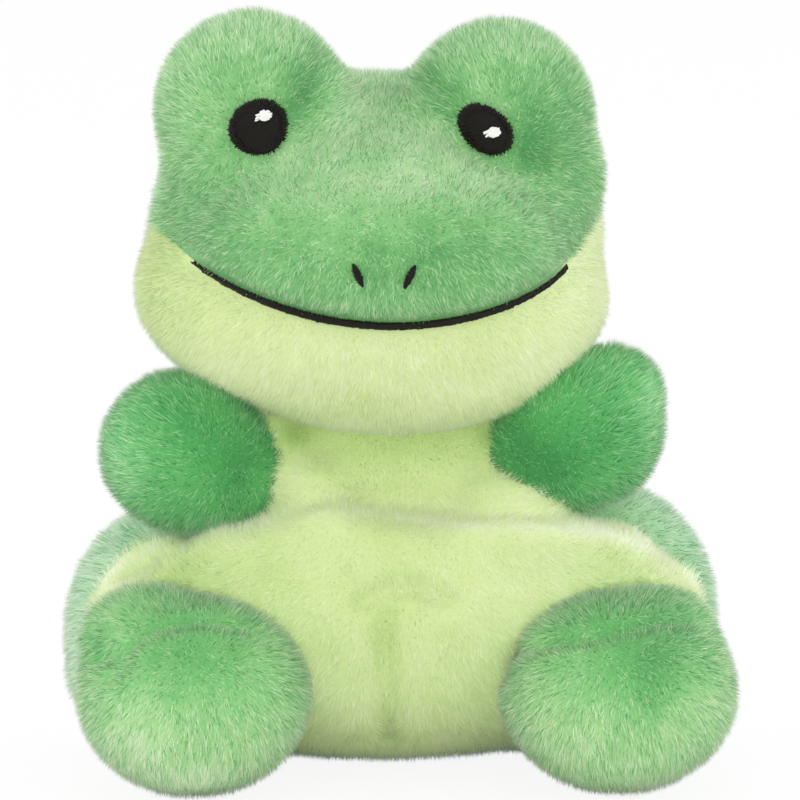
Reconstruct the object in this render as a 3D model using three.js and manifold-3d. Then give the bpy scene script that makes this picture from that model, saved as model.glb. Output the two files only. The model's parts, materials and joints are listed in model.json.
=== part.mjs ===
import * as THREE from 'three';
import { mergeVertices } from 'three/addons/utils/BufferGeometryUtils.js';
import Module from 'manifold-3d';

// A palm-size plush frog, seated. Lengths are millimetres and angles are degrees.
// +Z is up, the frog faces -Y, and its left side is +X. It rests on the plane z = 0.

// Plush and clearances
const plushWall = 4.5;        // pile and backing together
const pieceGap = 0.3;         // between pieces that touch
const chinClearance = 1.5;    // under the head, so that it can turn and nod
const collarClearance = 0.5;  // round the sides of the room that the nod needs
const swingClearance = 0.4;   // beside a limb, all along its swing
const rootHem = 2;            // plush left round the open end of a limb
const creaseSoftness = 2.2;   // how gently one rounded lobe runs into the next
const restingFlat = 0.5;      // depth that the seat and the soles are pressed flat

// Neck: a ball of filling, on which the head turns and nods
const neckDiameter = 28;
const neckHeight = 64;
const neckForward = -5;
const headLean = -4.7;        // the head sits off centre, towards the frog's right
const headRoll = 2.2;         // and dips a little on the other side
const headNodBack = 12;
const headNodForward = 4;

// Head, measured from the middle of the neck ball
const jawWidth = 80;
const jawDepth = 66;
const jawHeight = 42.4;
const jawForward = 7;
const jawLift = 16.8;
const skullWidth = 77;
const skullDepth = 64;
const skullHeight = 52;
const skullForward = 1;
const skullLift = 26;
const snoutWidth = 62;
const snoutDepth = 50;
const snoutHeight = 32;
const snoutForward = 19;
const snoutLift = 27;
const moundDiameter = 33;
const moundSpacing = 42;
const moundForward = 7;
const moundLift = 48;

// Seams of the head
const backSeam = 3;           // behind the neck's middle, where the back panel starts
const mouthLift = 16.6;       // the mouth's lowest point
const mouthHalfWidth = 31;
const smileRise = 7.2;        // how far the mouth climbs to its ends
const cheekRise = 0.9;        // and the seam past them

// Embroidery
const threadHeight = 0.8;     // how far a stitched shape stands off the plush
const glintThread = 0.4;      // how far a glint stands off its eye
const eyeWidth = 9.6;
const eyeHeight = 9;
const eyeSpacing = 38.1;
const eyesAside = -2.4;       // the face is stitched a little towards the frog's right
const nostrilsAside = -1;
const eyeLift = 48;
const glintWidth = 3.2;
const glintHeight = 2.2;
const glintAside = 0.8;
const glintAbove = 1.7;
const mouthThickness = 1.4;
const mouthTip = 0.5;
const nostrilLength = 4.4;
const nostrilWidth = 1.6;
const nostrilSpacing = 8.6;
const nostrilLift = 26.5;
const nostrilLean = 22;

// Body
const seatWidth = 106;
const seatDepth = 66;
const seatHeight = 44;
const seatBehind = 10;
const lapWidth = 98;
const lapDepth = 38;
const lapHeight = 35;
const lapForward = 5;
const lapLift = 28;
const thighWidth = 40;
const thighDepth = 46;
const thighHeight = 44;
const thighSpacing = 68.5;
const thighBehind = 12;
const chestWidth = 50;
const chestDepth = 36;
const chestHeight = 48;
const chestBehind = 4;
const chestLift = 46;
const backWidth = 76;
const backDepth = 52;
const backHeight = 61;
const backBehind = 16;
const sideSeam = -2;          // the plane where the belly panel meets the back panel

// Pellet bag in the seat
const bagWidth = 76;
const bagDepth = 46;
const bagHeight = 26;

// Arms, measured from the middle of the shoulder ball
const shoulderDiameter = 13;
const shoulderSpacing = 42;
const shouldersAside = -2;    // the upper body leans as the head does
const shoulderHeight = 52;
const shoulderForward = 3;
const upperArmReach = 6;
const upperArmWidth = 17;
const handReach = 13;
const handForward = 5;
const handLift = 1.5;
const handWidth = 28;
const handDepth = 25;
const handHeight = 27;
const leftArmRaise = 20;
const rightArmRaise = 7;
const armSwingForward = 30;
const armSwingBack = 8;

// Feet, measured from the middle of the hip ball
const hipDiameter = 33;
const hipSpacing = 68;
const hipForward = 9;
const footWidth = 39;
const footLength = 40;
const footHeight = 34.2;
const footReach = 15.5;
const footSplay = 2;
const footLift = 15;
const footDrop = 20;

// Cells along one side of each form
const headCells = 10;
const bodyCells = 8;
const footCells = 6;
const armCells = 5;
const limbFillingCells = 2;
const fillingCells = 3;
const ballCells = 4;
const coarseCells = 5;        // of the body, where it only clears the limbs
const armCoarseDip = 2.2;     // how far its flat facets fall inside the round form, by an arm
const footCoarseDip = 2.7;    // and by a foot
const roomSides = 14;         // of the room under the head
const roomRings = 8;

const wasm = await Module();
wasm.setup();

const green = plush(0x7bc47f);
const armGreen = plush(0x55b566);
const footGreen = plush(0x74c27c);
const pale = plush(0xd3e8a4);
const mint = plush(0x93cdaa);
const fibre = plush(0xf2f1ea);
const pellets = new THREE.MeshStandardMaterial({ color: 0xe6e4da, roughness: 0.6, metalness: 0 });
const blackThread = new THREE.MeshStandardMaterial({ color: 0x1b1513, roughness: 0.45, metalness: 0 });
const whiteThread = new THREE.MeshStandardMaterial({ color: 0xf4f4f0, roughness: 0.5, metalness: 0 });

function plush(color) {
  return new THREE.MeshStandardMaterial({ color, roughness: 1, metalness: 0 });
}

// Solids and how they are cut

function solidOf(geometry) {
  const bare = geometry.clone();
  bare.deleteAttribute('normal');
  bare.deleteAttribute('uv');
  const merged = mergeVertices(bare);
  return new wasm.Manifold(new wasm.Mesh({
    numProp: 3,
    vertProperties: merged.attributes.position.array,
    triVerts: new Uint32Array(merged.index.array),
  }));
}

function geometryOf(solid) {
  const { vertProperties, triVerts } = solid.getMesh();
  const geometry = new THREE.BufferGeometry();
  geometry.setAttribute('position', new THREE.BufferAttribute(vertProperties, 3));
  geometry.setIndex(new THREE.BufferAttribute(triVerts, 1));
  geometry.computeVertexNormals();
  return geometry;
}

function cut(solid, ...cutters) {
  return cutters.reduce((left, cutter) => left.subtract(cutter), solid);
}

// Cutting can leave loose crumbs, which a cloth piece doesn't have
function whole(solid) {
  const pieces = solid.decompose();
  return pieces.reduce((most, piece) => (piece.volume() > most.volume() ? piece : most));
}

function box(x0, x1, y0, y1, z0, z1) {
  const geometry = new THREE.BoxGeometry(x1 - x0, y1 - y0, z1 - z0);
  return solidOf(geometry.translate((x0 + x1) / 2, (y0 + y1) / 2, (z0 + z1) / 2));
}

const farOut = 200;           // past every piece, for the boxes that cut a form in two
const underFloor = box(-farOut, farOut, -farOut, farOut, -farOut, 0);

// Rounded forms

// The middle and the half sizes of one rounded lobe
function lobe(x, y, z, width, depth, height) {
  return {
    middle: new THREE.Vector3(x, y, z),
    half: new THREE.Vector3(width / 2, depth / 2, height / 2),
  };
}

const longestReach = 90;      // from the inside of any form to past its skin
const stride = 0.5;
const halvings = 16;          // of one stride, to find the skin in it

// Distance to the skin of lobes that run into each other, below 0 inside
function skinDistance(lobes, point) {
  let sum = 0;
  for (const { middle, half } of lobes) {
    const local = point.clone().sub(middle).divide(half);
    const scale = local.length();
    const slope = local.divide(half).length();
    const distance = slope > 0 ? scale * (scale - 1) / slope : -half.x;
    sum += Math.exp(-distance / creaseSoftness);
  }
  return -creaseSoftness * Math.log(sum);
}

// The far point on a ray from inside the form where the skin, moved out by proud, is crossed
function skinPoint(lobes, inside, direction, proud) {
  const at = (reach) => inside.clone().addScaledVector(direction, reach);
  let outer = longestReach;
  while (outer > stride && skinDistance(lobes, at(outer - stride)) > proud) outer -= stride;
  let inner = outer - stride;
  for (let halving = 0; halving < halvings; halving += 1) {
    const middle = (inner + outer) / 2;
    if (skinDistance(lobes, at(middle)) > proud) outer = middle;
    else inner = middle;
  }
  return at((inner + outer) / 2);
}

// A box whose faces hold even cells, blown up until it lies on the form's skin
function formGeometry(lobes, inside, cells, proud = 0) {
  const geometry = new THREE.BoxGeometry(2, 2, 2, cells, cells, cells);
  geometry.deleteAttribute('normal');
  geometry.deleteAttribute('uv');
  const merged = mergeVertices(geometry);
  const { position } = merged.attributes;
  const direction = new THREE.Vector3();
  const even = (share) => Math.tan(share * Math.PI / 4);
  for (let i = 0; i < position.count; i += 1) {
    direction.fromBufferAttribute(position, i);
    direction.set(even(direction.x), even(direction.y), even(direction.z)).normalize();
    const point = skinPoint(lobes, inside, direction, proud);
    position.setXYZ(i, point.x, point.y, point.z);
  }
  return merged;
}

function ball(radius, x = 0, y = 0, z = 0) {
  return formGeometry([lobe(x, y, z, 2 * radius, 2 * radius, 2 * radius)],
    new THREE.Vector3(x, y, z), ballCells);
}

// A seat that its ball can turn in, flat facets and all
function socket(ballDiameter, x = 0, y = 0, z = 0) {
  const facetDip = Math.cos(Math.PI / 4 / ballCells * Math.SQRT2);
  return ball((ballDiameter / 2 + pieceGap) / facetDip, x, y, z);
}

// A flat outline in the front view, pushed from front to back through the toy
function through(points, y0, y1) {
  const shape = new THREE.Shape(points);
  const geometry = new THREE.ExtrudeGeometry(shape, { depth: y1 - y0, bevelEnabled: false });
  return solidOf(geometry.rotateX(Math.PI / 2).translate(0, y1, 0));
}

const ellipseSteps = 12;

function ellipsePoints(x, z, width, height, lean = 0) {
  const middle = new THREE.Vector2(x, z);
  return Array.from({ length: ellipseSteps }, (_, step) => {
    const angle = step / ellipseSteps * 2 * Math.PI;
    return new THREE.Vector2(Math.cos(angle) * width / 2, Math.sin(angle) * height / 2)
      .rotateAround(new THREE.Vector2(), THREE.MathUtils.degToRad(lean))
      .add(middle);
  });
}

const figure = new THREE.Group();

// Hangs the pieces of one limb on its pivot, which is where they turn
function pivotGroup(pivot) {
  const group = new THREE.Group();
  group.position.copy(pivot);
  figure.add(group);
  return group;
}

// A solid made round its pivot, or one made where it lies in the figure when madeAt is its pivot
function addPiece(group, name, solid, material, madeAt = new THREE.Vector3()) {
  const geometry = geometryOf(whole(solid)).translate(-madeAt.x, -madeAt.y, -madeAt.z);
  const mesh = new THREE.Mesh(geometry, material.clone());
  mesh.name = name;
  group.add(mesh);
}

// Head

const neckAt = new THREE.Vector3(headLean, -neckForward, neckHeight);
const headLobes = [
  lobe(0, -jawForward, jawLift, jawWidth, jawDepth, jawHeight),
  lobe(0, -skullForward, skullLift, skullWidth, skullDepth, skullHeight),
  lobe(0, -snoutForward, snoutLift, snoutWidth, snoutDepth, snoutHeight),
  ...[-1, 1].map((side) => lobe(side * moundSpacing / 2, -moundForward, moundLift,
    moundDiameter, moundDiameter, moundDiameter)),
];
const headInside = new THREE.Vector3(0, -jawForward, (jawLift + skullLift) / 2);

function headForm(proud, cells = headCells) {
  return solidOf(formGeometry(headLobes, headInside, cells, proud));
}

const seamSteps = 12;
const mouthSteps = 14;

// Height of the seam between crown and chin, which the mouth follows
function smileAt(x) {
  const share = x / mouthHalfWidth;
  return mouthLift + smileRise * share ** 2 + cheekRise * share ** 8;
}

function smilePoints(halfWidth, steps, shift) {
  return Array.from({ length: steps + 1 }, (_, step) => {
    const x = halfWidth * (2 * step / steps - 1);
    return new THREE.Vector2(x, smileAt(x) + shift(x));
  });
}

// Everything under that seam, moved up by shift
function belowSmile(shift) {
  const halfWidth = jawWidth / 2 + chinClearance;
  return through([
    ...smilePoints(halfWidth, seamSteps, () => shift),
    new THREE.Vector2(halfWidth, -farOut),
    new THREE.Vector2(-halfWidth, -farOut),
  ], -farOut, farOut);
}

function addHead() {
  const group = pivotGroup(neckAt);
  group.rotation.y = THREE.MathUtils.degToRad(headRoll);

  const neckSeat = solidOf(socket(neckDiameter));
  const cavity = headForm(pieceGap - plushWall, fillingCells);
  const filling = headForm(-plushWall, fillingCells);
  const skin = cut(headForm(0), cavity, neckSeat);
  addPiece(group, 'head_stuffing', cut(filling, neckSeat), fibre);

  const front = box(-farOut, farOut, -farOut, backSeam - pieceGap / 2, -farOut, farOut);
  const back = box(-farOut, farOut, backSeam + pieceGap / 2, farOut, -farOut, farOut);
  const face = skin.intersect(front);
  addPiece(group, 'head_crown', cut(face, belowSmile(pieceGap / 2)), green);
  addPiece(group, 'head_chin', face.intersect(belowSmile(-pieceGap / 2)), pale);
  addPiece(group, 'head_back', skin.intersect(back), mint);

  addFace(group);
}

// Stitched shapes lie on the plush and follow its roundness
function addFace(group) {
  const threadBase = headForm(pieceGap);
  const threadTop = headForm(pieceGap + threadHeight);
  const glintBase = headForm(2 * pieceGap + threadHeight);
  const glintTop = headForm(2 * pieceGap + threadHeight + glintThread);
  const stitched = (points, base, top) => through(points, -farOut, -moundForward)
    .intersect(top).subtract(base);

  for (const [side, word] of [[1, 'left'], [-1, 'right']]) {
    const eyeX = side * eyeSpacing / 2 + eyesAside;
    addPiece(group, `eye_${word}`,
      stitched(ellipsePoints(eyeX, eyeLift, eyeWidth, eyeHeight), threadBase, threadTop), blackThread);
    addPiece(group, `glint_${word}`,
      stitched(ellipsePoints(eyeX + glintAside, eyeLift + glintAbove, glintWidth, glintHeight),
        glintBase, glintTop), whiteThread);
    addPiece(group, `nostril_${word}`,
      stitched(ellipsePoints(side * nostrilSpacing / 2 + nostrilsAside, nostrilLift,
        nostrilWidth, nostrilLength, -side * nostrilLean), threadBase, threadTop), blackThread);
  }

  const halfThickness = (x) => THREE.MathUtils.lerp(mouthThickness, mouthTip,
    (x / mouthHalfWidth) ** 4) / 2;
  const mouthPoints = [
    ...smilePoints(mouthHalfWidth, mouthSteps, (x) => halfThickness(x)),
    ...smilePoints(mouthHalfWidth, mouthSteps, (x) => -halfThickness(x)).reverse(),
  ];
  addPiece(group, 'mouth', stitched(mouthPoints, threadBase, threadTop), blackThread);
}

// Points on the head's skin that are lower than the middle of the jaw
function jawPoints() {
  const { position } = geometryOf(headForm(0)).attributes;
  return Array.from({ length: position.count },
    (_, i) => new THREE.Vector3().fromBufferAttribute(position, i))
    .filter((point) => point.z < jawLift);
}

// The bowl under the chin that a turning head needs at each end of its nod
function headRooms() {
  const jaw = jawPoints();
  const reachOf = (point) => Math.hypot(point.x, point.y);
  const facetDip = Math.cos(Math.PI / roomSides);
  const radius = (Math.max(...jaw.map(reachOf)) + collarClearance) / facetDip;
  const depthOf = (point) => (jawLift - point.z) / Math.sqrt(1 - (reachOf(point) / radius) ** 2);
  const depth = Math.max(...jaw.map(depthOf)) + chinClearance;
  return [-headNodBack, headNodForward].map((nod) => {
    const bowl = new THREE.SphereGeometry(1, roomSides, roomRings).rotateX(Math.PI / 2)
      .scale(radius, radius, depth).translate(0, 0, jawLift)
      .rotateY(THREE.MathUtils.degToRad(headRoll))
      .rotateX(THREE.MathUtils.degToRad(nod))
      .translate(neckAt.x, neckAt.y, neckAt.z);
    return solidOf(bowl);
  });
}

// Body

const bodyLobes = [
  lobe(0, seatBehind, seatHeight / 2 - restingFlat, seatWidth, seatDepth, seatHeight),
  lobe(0, -lapForward, lapLift, lapWidth, lapDepth, lapHeight),
  ...[-1, 1].map((side) => lobe(side * thighSpacing / 2, thighBehind, thighHeight / 2 - restingFlat,
    thighWidth, thighDepth, thighHeight)),
  lobe(0, chestBehind, chestLift, chestWidth, chestDepth, chestHeight),
  lobe(0, backBehind, backHeight / 2, backWidth, backDepth, backHeight),
];
const bodyInside = new THREE.Vector3(0, seatBehind, lapLift);
const shoulderAt = (side) => new THREE.Vector3(
  side * shoulderSpacing / 2 + shouldersAside, -shoulderForward, shoulderHeight);
const hipAt = (side) => new THREE.Vector3(
  side * hipSpacing / 2, -hipForward, footHeight / 2 - restingFlat);

function bodyForm(proud, cells = bodyCells) {
  return solidOf(formGeometry(bodyLobes, bodyInside, cells, proud));
}

// The round seats of the neck, the shoulders and the hips
function sockets() {
  return [
    socket(neckDiameter, neckAt.x, neckAt.y, neckAt.z),
    ...[-1, 1].map((side) => socket(shoulderDiameter, ...shoulderAt(side).toArray())),
    ...[-1, 1].map((side) => socket(hipDiameter, ...hipAt(side).toArray())),
  ].map(solidOf);
}

function addBody(rooms) {
  const group = pivotGroup(new THREE.Vector3());
  const seats = sockets();
  const cavity = bodyForm(pieceGap - plushWall, fillingCells);
  const skin = cut(bodyForm(0), cavity, underFloor, ...rooms, ...seats);
  const front = box(-farOut, farOut, -farOut, sideSeam - pieceGap / 2, -farOut, farOut);
  const back = box(-farOut, farOut, sideSeam + pieceGap / 2, farOut, -farOut, farOut);
  addPiece(group, 'belly_panel', skin.intersect(front), pale);
  addPiece(group, 'back_panel', skin.intersect(back), mint);

  const filling = cut(bodyForm(-plushWall, fillingCells), ...rooms, ...seats);
  const bag = (grow) => solidOf(formGeometry(
    [lobe(0, seatBehind, plushWall, bagWidth + 2 * grow, bagDepth + 2 * grow, bagHeight + 2 * grow)],
    new THREE.Vector3(0, seatBehind, plushWall), fillingCells));
  addPiece(group, 'body_stuffing', cut(filling, bag(pieceGap)), fibre);
  addPiece(group, 'seat_pellets', filling.intersect(bag(0)), pellets);
}

function addNeck() {
  const group = pivotGroup(neckAt);
  addPiece(group, 'neck_stuffing', solidOf(ball(neckDiameter / 2)), fibre);
}

// Limbs

// What a swinging limb has to clear: its neighbours, turned back by each part of the swing
function sweptBy(neighbours, pivot, axis, angles) {
  return angles.flatMap((angle) => neighbours.map((neighbour) => solidOf(
    geometryOf(neighbour)
      .translate(-pivot.x, -pivot.y, -pivot.z)
      .applyMatrix4(new THREE.Matrix4().makeRotationAxis(axis, -THREE.MathUtils.degToRad(angle)))
      .translate(pivot.x, pivot.y, pivot.z),
  )));
}

function addArm(side, word, raise, rooms) {
  const pivot = shoulderAt(side);
  const group = pivotGroup(pivot);
  const lobes = [
    lobe(0, 0, 0, shoulderDiameter, shoulderDiameter, shoulderDiameter),
    lobe(side * upperArmReach, -handForward / 2, 0, upperArmWidth, upperArmWidth, upperArmWidth),
    lobe(side * handReach, -handForward, handLift, handWidth, handDepth, handHeight),
  ];
  const inside = new THREE.Vector3(side * handReach, -handForward, handLift);
  const placed = (geometry) => solidOf(geometry
    .rotateY(-side * THREE.MathUtils.degToRad(raise)).translate(pivot.x, pivot.y, pivot.z));
  const form = (proud, cells) => placed(formGeometry(lobes, inside, cells, proud));

  const axis = new THREE.Vector3(0, 0, -side);
  const body = bodyForm(swingClearance + armCoarseDip, coarseCells);
  const nodRoom = rooms[rooms.length - 1];
  const swing = [-armSwingBack, 0, armSwingForward / 2, armSwingForward];
  const blocked = sweptBy([body, nodRoom], pivot, axis, swing);
  const root = placed(ball(shoulderDiameter / 2));
  const outside = cut(form(0, armCells), ...blocked).add(root);
  const throat = (grow) => placed(ball(shoulderDiameter / 2 - rootHem + grow, -side * rootHem * 2));
  const filling = form(-plushWall, limbFillingCells).add(throat(0));
  const hole = form(pieceGap - plushWall, limbFillingCells).add(throat(pieceGap));
  addPiece(group, `arm_${word}`, cut(outside, hole), armGreen, pivot);
  addPiece(group, `arm_${word}_stuffing`, filling.intersect(outside), fibre, pivot);
}

function addFoot(side, word) {
  const pivot = hipAt(side);
  const group = pivotGroup(pivot);
  const lobes = [
    lobe(0, 0, 0, hipDiameter, hipDiameter, hipDiameter),
    lobe(side * footSplay, -footReach, 0, footWidth, footLength, footHeight),
  ];
  const inside = new THREE.Vector3(side * footSplay, -footReach, 0);
  const placed = (geometry) => solidOf(geometry.translate(pivot.x, pivot.y, pivot.z));
  const form = (proud, cells) => placed(formGeometry(lobes, inside, cells, proud));

  const axis = new THREE.Vector3(-1, 0, 0);
  const body = bodyForm(swingClearance + footCoarseDip, coarseCells);
  const swing = [-footDrop, -footDrop / 2, 0, footLift / 2, footLift];
  const blocked = sweptBy([body], pivot, axis, swing);
  const root = placed(ball(hipDiameter / 2));
  const outside = cut(cut(form(0, footCells), ...blocked).add(root), underFloor);
  const throat = (grow) => placed(ball(hipDiameter / 2 - 2 * rootHem + grow, 0, 4 * rootHem));
  const filling = form(-plushWall, limbFillingCells).add(throat(0));
  const hole = form(pieceGap - plushWall, limbFillingCells).add(throat(pieceGap));
  addPiece(group, `foot_${word}`, cut(outside, hole), footGreen, pivot);
  addPiece(group, `foot_${word}_pellets`, filling.intersect(outside), pellets, pivot);
}

const rooms = headRooms();
addHead();
addNeck();
addBody(rooms);
addArm(1, 'left', leftArmRaise, rooms);
addArm(-1, 'right', rightArmRaise, rooms);
addFoot(1, 'left');
addFoot(-1, 'right');

// The origin is under the middle of the toy's box
figure.updateMatrixWorld(true);
const bounds = new THREE.Box3().setFromObject(figure, true);
const middle = bounds.getCenter(new THREE.Vector3());
figure.position.set(-middle.x, -middle.y, -bounds.min.z);

const toy = new THREE.Group();
toy.add(figure);

export default toy;
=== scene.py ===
import json
import math

import bpy
import numpy as np
from mathutils import Matrix, Vector
from mathutils.bvhtree import BVHTree


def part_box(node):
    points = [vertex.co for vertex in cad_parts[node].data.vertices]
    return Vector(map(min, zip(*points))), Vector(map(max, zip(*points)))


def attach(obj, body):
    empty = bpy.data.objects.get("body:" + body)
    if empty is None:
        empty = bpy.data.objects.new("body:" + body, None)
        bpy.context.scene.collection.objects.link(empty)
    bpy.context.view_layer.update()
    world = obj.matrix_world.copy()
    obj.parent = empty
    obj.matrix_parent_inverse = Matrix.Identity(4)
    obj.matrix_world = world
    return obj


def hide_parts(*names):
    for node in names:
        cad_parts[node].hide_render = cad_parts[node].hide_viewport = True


# A palm-size plush frog: stuffed forms, a pile of fibres on each, and a stitched face.
# Sizes in the dictionaries are millimetres and degrees. The frog faces -Y, its left is +X.

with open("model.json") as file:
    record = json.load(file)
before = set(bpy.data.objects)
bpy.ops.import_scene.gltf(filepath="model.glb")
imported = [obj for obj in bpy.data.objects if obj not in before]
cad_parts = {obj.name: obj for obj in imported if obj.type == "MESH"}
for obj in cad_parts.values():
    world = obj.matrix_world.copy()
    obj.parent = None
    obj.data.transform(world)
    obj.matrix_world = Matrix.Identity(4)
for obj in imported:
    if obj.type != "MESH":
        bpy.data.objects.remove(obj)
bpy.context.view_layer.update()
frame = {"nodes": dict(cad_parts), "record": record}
mm = 0.001
joints = {j["name"]: Vector(j["pos_m"]) for j in frame["record"]["behaviour"]["joints"]}
print("frame loaded:", len(frame["nodes"]), "nodes")


def newThing(name, data):
    thing = bpy.data.objects.new(name, data)
    bpy.context.scene.collection.objects.link(thing)
    return thing


# Camera, at the photograph's angle

view = {"azimuth": 4.5, "elevation": 10, "distance": 4, "sensor": 36, "framed": 0.13333, "aside": 0.001,
        "above": 0.0612}

swing, tip = math.radians(view["azimuth"]), math.radians(view["elevation"])
towards = Vector((-math.sin(swing) * math.cos(tip), -math.cos(swing) * math.cos(tip), math.sin(tip)))
aside = Vector((math.cos(swing), -math.sin(swing), 0))
above = towards.cross(aside)


def addCamera():
    target = aside * view["aside"] + above * view["above"]
    data = bpy.data.cameras.new("camera")
    data.sensor_width = view["sensor"]
    data.lens = data.sensor_width * view["distance"] / view["framed"]
    camera = newThing("camera", data)
    camera.location = target + towards * view["distance"]
    camera.rotation_euler = Matrix((aside, above, towards)).transposed().to_euler()
    bpy.context.scene.camera = camera


addCamera()


# Materials

class Wire:
    def __init__(self, sheet, socket):
        self.sheet = sheet
        self.socket = socket

    def sum(self, operation, first, second):
        return self.sheet.add("Math", {"operation": operation}, {0: first, 1: second})

    def __add__(self, other):
        return self.sum("ADD", self, other)

    def __radd__(self, other):
        return self.sum("ADD", other, self)

    def __sub__(self, other):
        return self.sum("SUBTRACT", self, other)

    def __rsub__(self, other):
        return self.sum("SUBTRACT", other, self)

    def __mul__(self, other):
        return self.sum("MULTIPLY", self, other)

    def __rmul__(self, other):
        return self.sum("MULTIPLY", other, self)


class Sheet:
    def __init__(self, owner):
        self.owner = owner
        owner.use_nodes = True
        self.tree = owner.node_tree
        self.tree.nodes.clear()

    def add(self, kind, settings, inputs, output=0):
        node = self.tree.nodes.new("ShaderNode" + kind)
        for key, value in settings.items():
            if key == "stops":
                fillRamp(node.color_ramp, value)
            else:
                setattr(node, key, value)
        for key, value in inputs.items():
            if isinstance(value, Wire):
                self.tree.links.new(value.socket, node.inputs[key])
            else:
                node.inputs[key].default_value = value
        return Wire(self, node.outputs[output]) if node.outputs else None

    def mix(self, blend, factor, first, second):
        settings = {"data_type": "RGBA", "blend_type": blend}
        return self.add("Mix", settings, {0: factor, 6: first, 7: second}, 2)

    def ramp(self, factor, stops):
        return self.add("ValToRGB", {"stops": stops}, {0: factor})

    def finish(self, shader, kind="OutputMaterial"):
        self.add(kind, {}, {0: shader})
        return self.owner


def newSheet(name):
    return Sheet(bpy.data.materials.new(name))


def fillRamp(ramp, stops):
    while len(ramp.elements) > 1:
        ramp.elements.remove(ramp.elements[-1])
    for i, (at, colour) in enumerate(stops):
        stop = ramp.elements[0] if i == 0 else ramp.elements.new(at)
        stop.position = at
        stop.color = colour


def linear(red, green, blue):
    channels = [c / 255 for c in (red, green, blue)]
    return (*[c / 12.92 if c <= 0.04045 else ((c + 0.055) / 1.055) ** 2.4 for c in channels], 1)


# Tones of each plush, from the darkest fibre to the lightest, as bytes of red, green and blue
toneStops = (0, 0.3, 0.5, 0.75, 1)
tones = {
    "head_green": ((78, 152, 86), (118, 184, 112), (146, 204, 136), (184, 224, 164), (244, 252, 226)),
    "arm_green": ((44, 128, 66), (76, 166, 88), (98, 184, 106), (138, 207, 138), (216, 241, 200)),
    "foot_green": ((64, 142, 76), (106, 182, 106), (136, 202, 128), (180, 223, 158), (242, 251, 222)),
    "pale_plush": ((166, 194, 112), (204, 224, 150), (222, 237, 170), (234, 245, 192), (252, 254, 234)),
    "mint_plush": ((94, 164, 112), (134, 193, 141), (168, 213, 169), (206, 232, 199), (240, 248, 230)),
}
calm = {"pale_plush": 0.45}  # how much of the difference between single fibres shows
plush = {"Roughness": 0.65, "Specular IOR Level": 0.25, "Sheen Weight": 0.2, "Sheen Roughness": 0.5}
# Painted shade darkens the fibres towards their roots; a painted highlight blends their tips towards a pale colour
rootShade = [(0, (0.84, 0.87, 0.84, 1)), (0.45, (0.95, 0.96, 0.95, 1)), (1, (1, 1, 1, 1))]
tipLight = [(0.5, (0, 0, 0, 1)), (1, (0.32, 0.32, 0.32, 1))]
tipHighlightColour = (244, 251, 228)


def toneRamp(sheet, tone, slot):
    return sheet.ramp(tone, [(at, linear(*colour)) for at, colour in zip(toneStops, tones[slot])])


def plushFinish(sheet, colour, **inputs):
    return sheet.finish(sheet.add("BsdfPrincipled", {}, {"Base Color": colour, **plush, **inputs}))


def fibreFinish(slot):
    sheet = newSheet(slot)
    place = sheet.add("UVMap", {"uv_map": "OFBake"}, {})
    tone, height = (sheet.add("SeparateXYZ", {}, {0: place}, axis) for axis in (0, 1))
    # Painted shade at the roots, painted highlight at the tips
    shaded = sheet.mix("MULTIPLY", 1, toneRamp(sheet, tone, slot), sheet.ramp(height, rootShade))
    shaded = sheet.mix("MIX", sheet.ramp(height, tipLight), shaded, linear(*tipHighlightColour))
    return plushFinish(sheet, shaded)


# The nap's shade is painted shade, as if the fibres over the nap shaded it
nap = {"grain": 1900, "detail": 3, "rough": 0.6, "grainTone": 0.5, "patches": 240, "patchDetail": 2,
       "patchTone": 0.16, "bump": 0.5, "relief": 0.0004, "shade": (0.85, 0.89, 0.83, 1)}


# The nap under the standing fibres: the same tones, with grain as fine as its fibres
def napFinish(slot):
    sheet = newSheet(slot + "_nap")
    tone = sheet.add("Attribute", {"attribute_name": "tone"}, {}, 2)
    place = sheet.add("TexCoord", {}, {}, 3)
    grain = sheet.add("TexNoise", {}, {
        "Vector": place, "Scale": nap["grain"], "Detail": nap["detail"], "Roughness": nap["rough"]})
    patches = sheet.add("TexNoise", {}, {
        "Vector": place, "Scale": nap["patches"], "Detail": nap["patchDetail"]})
    contrast = calm.get(slot, 1)
    varied = tone + (grain - 0.5) * nap["grainTone"] * contrast + (patches - 0.5) * nap["patchTone"] * contrast
    shaded = sheet.mix("MULTIPLY", 1, toneRamp(sheet, varied, slot), nap["shade"])
    bump = sheet.add("Bump", {}, {"Strength": nap["bump"], "Distance": nap["relief"], "Height": grain})
    return plushFinish(sheet, shaded, Normal=bump)


# Thread and filling: two shades mixed by a noise, which also roughens them
thread = {"scale": 3400, "detail": 2, "bump": 0.3, "relief": 0.00005, "gloss": 0.2}
filling = {"detail": 4, "bump": 0.6, "relief": 0.0004, "gloss": 0.5, "rough": 0.9}
plain = {
    "black_thread": {**thread, "shades": ((4, 3, 2), (32, 27, 22)), "rough": 0.5},
    "white_thread": {**thread, "shades": ((226, 226, 220), (250, 250, 246)), "rough": 0.45},
    "stuffing": {**filling, "shades": ((214, 212, 202), (242, 241, 234)), "scale": 400},
    "pellets": {**filling, "shades": ((180, 178, 168), (230, 228, 218)), "scale": 900},
}


def plainFinish(name, look):
    sheet = newSheet(name)
    place = sheet.add("TexCoord", {}, {}, 3)
    noise = sheet.add("TexNoise", {}, {
        "Vector": place, "Scale": look["scale"], "Detail": look["detail"]})
    shade = sheet.mix("MIX", noise, *[linear(*colour) for colour in look["shades"]])
    bump = sheet.add("Bump", {}, {"Strength": look["bump"], "Distance": look["relief"], "Height": noise})
    return sheet.finish(sheet.add("BsdfPrincipled", {}, {
        "Base Color": shade, "Roughness": look["rough"], "Specular IOR Level": look["gloss"], "Normal": bump}))


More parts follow.
